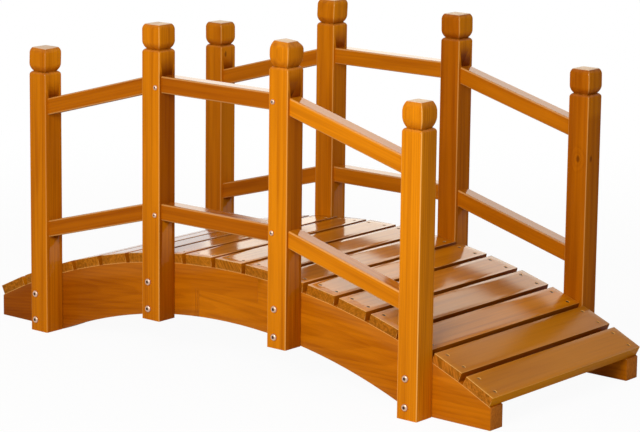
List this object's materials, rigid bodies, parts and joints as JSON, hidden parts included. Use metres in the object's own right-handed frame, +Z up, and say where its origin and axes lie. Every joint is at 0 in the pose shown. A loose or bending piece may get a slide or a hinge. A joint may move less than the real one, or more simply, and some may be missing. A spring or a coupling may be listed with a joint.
{
  "type": "miniature garden moon bridge",
  "caption": "Small arched timber garden bridge with a boarded deck on two side beams and a post-and-rail railing along each side.",
  "frame": {"origin": "centre of the bridge on the ground under its feet", "axes": "+X along the bridge, +Y across it from the near railing (-Y) to the far railing, +Z up"},
  "size_m": [1.0094, 0.456, 0.5266],
  "materials": {
    "post_wood": "honey-stained softwood, clear gloss",
    "rail_wood": "honey-stained softwood, clear gloss",
    "beam_wood": "honey-stained softwood, clear gloss",
    "board_wood": "honey-stained softwood, clear gloss"
  },
  "bodies": {
    "root": {"near_side_beam": "beam_wood", "far_side_beam": "beam_wood", "deck_board_01": "board_wood", "deck_board_02": "board_wood", "deck_board_03": "board_wood", "deck_board_04": "board_wood", "deck_board_05": "board_wood", "deck_board_06": "board_wood", "deck_board_07": "board_wood", "deck_board_08": "board_wood", "deck_board_09": "board_wood", "deck_board_10": "board_wood", "deck_board_11": "board_wood", "deck_board_12": "board_wood", "deck_board_13": "board_wood", "deck_board_14": "board_wood", "deck_board_15": "board_wood", "deck_board_16": "board_wood", "deck_board_17": "board_wood", "near_left_upper_rail": "rail_wood", "near_left_lower_rail": "rail_wood", "near_middle_upper_rail": "rail_wood", "near_middle_lower_rail": "rail_wood", "near_right_upper_rail": "rail_wood", "near_right_lower_rail": "rail_wood", "far_left_upper_rail": "rail_wood", "far_left_lower_rail": "rail_wood", "far_middle_upper_rail": "rail_wood", "far_middle_lower_rail": "rail_wood", "far_right_upper_rail": "rail_wood", "far_right_lower_rail": "rail_wood", "near_left_end_post": "post_wood", "near_left_mid_post": "post_wood", "near_right_mid_post": "post_wood", "near_right_end_post": "post_wood", "far_left_end_post": "post_wood", "far_left_mid_post": "post_wood", "far_right_mid_post": "post_wood", "far_right_end_post": "post_wood"}
  },
  "joints": []
}
